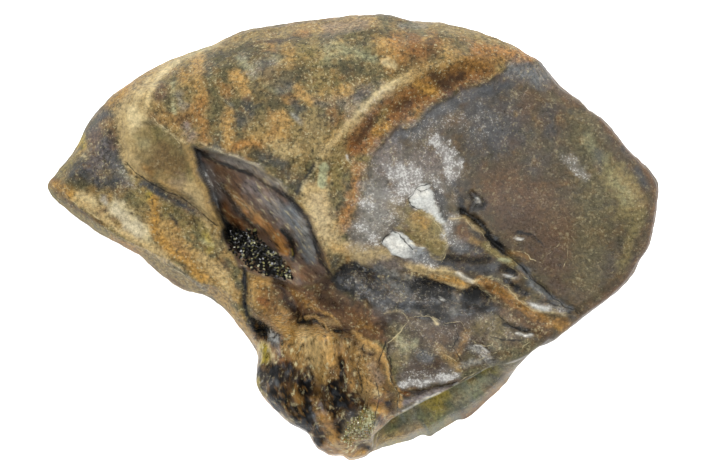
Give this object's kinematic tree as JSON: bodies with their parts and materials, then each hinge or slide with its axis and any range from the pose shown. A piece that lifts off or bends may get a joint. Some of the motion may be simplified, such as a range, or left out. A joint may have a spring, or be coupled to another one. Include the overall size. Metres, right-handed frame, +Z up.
{
  "type": "fossil triceratops tooth",
  "caption": "Fossil triceratops tooth, a shed crown with a carina, a smooth enamel face, a pulp hollow and a stub of root, lying on its worn chewing face.",
  "frame": {"origin": "middle of the bounding box in plan, on the surface that the tooth lies on", "axes": "+X along the length of the tooth, from its thin root wing to its sharp enamel edge; +Y towards the rounded top of the crown; +Z up, out of the face with the carina"},
  "size_m": [0.0306, 0.0224, 0.0116],
  "materials": {
    "fossil_tooth": "semi-gloss brown and olive fossil enamel and dentine, with black mineral patches"
  },
  "bodies": {
    "root": {"tooth": "fossil_tooth"}
  },
  "joints": []
}
